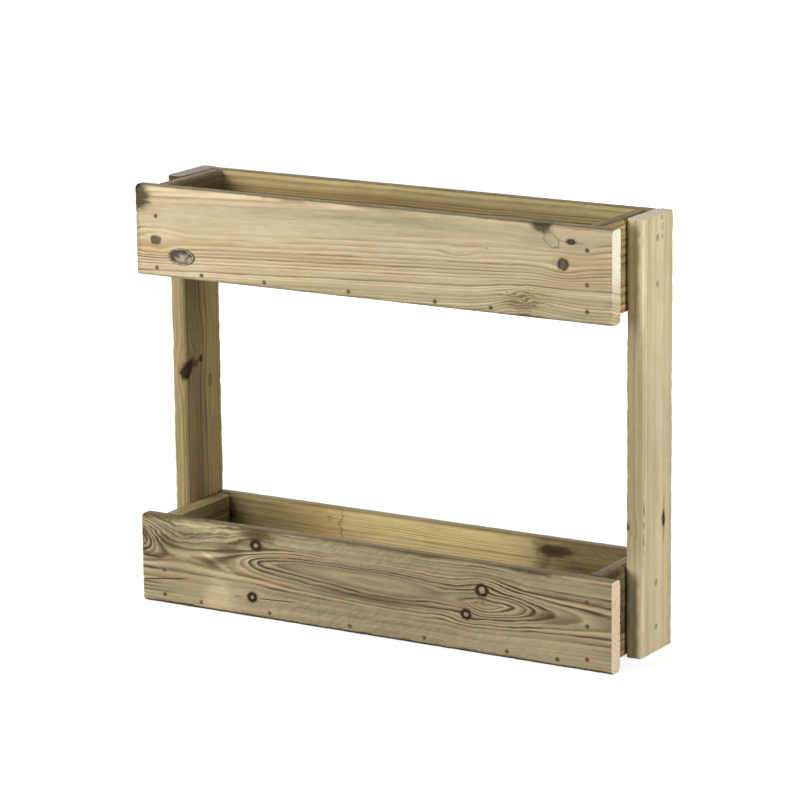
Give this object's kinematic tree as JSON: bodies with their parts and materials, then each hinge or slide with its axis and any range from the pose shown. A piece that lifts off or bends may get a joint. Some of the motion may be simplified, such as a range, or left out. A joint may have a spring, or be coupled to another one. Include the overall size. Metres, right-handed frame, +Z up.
{
  "type": "vertical garden planter",
  "caption": "Timber planter with an upper and a lower open trough, each a box of round-edged planks carried between two upright planks, to stand on the ground or against a wall.",
  "frame": {"origin": "middle of the footprint at floor level: half way along the width and half way between the front boards' faces and the uprights' back edges", "axes": "+X along the troughs towards the viewer's right, +Y from the front boards to the back, +Z up"},
  "size_m": [0.855, 0.201, 0.682],
  "materials": {
    "pale_timber": "rough planed, bare",
    "grey_timber": "rough planed, weathered",
    "post_timber": "rough planed, green-tinted by preservative",
    "nail_steel": "dull, darkened by weather",
    "screw_steel": "dull zinc"
  },
  "bodies": {
    "root": {"left_post": "post_timber", "right_post": "post_timber", "upper_front_board": "pale_timber", "upper_back_board": "pale_timber", "upper_left_end_board": "pale_timber", "upper_right_end_board": "pale_timber", "upper_floor_board": "pale_timber", "lower_front_board": "grey_timber", "lower_back_board": "grey_timber", "lower_left_end_board": "grey_timber", "lower_right_end_board": "grey_timber", "lower_floor_board": "grey_timber", "upper_front_end_nails": "nail_steel", "upper_front_floor_nails": "nail_steel", "upper_back_end_nails": "nail_steel", "upper_back_floor_nails": "nail_steel", "lower_front_end_nails": "nail_steel", "lower_front_floor_nails": "nail_steel", "lower_back_end_nails": "nail_steel", "lower_back_floor_nails": "nail_steel", "upper_left_post_screws": "screw_steel", "upper_right_post_screws": "screw_steel", "lower_left_post_screws": "screw_steel", "lower_right_post_screws": "screw_steel"}
  },
  "joints": []
}
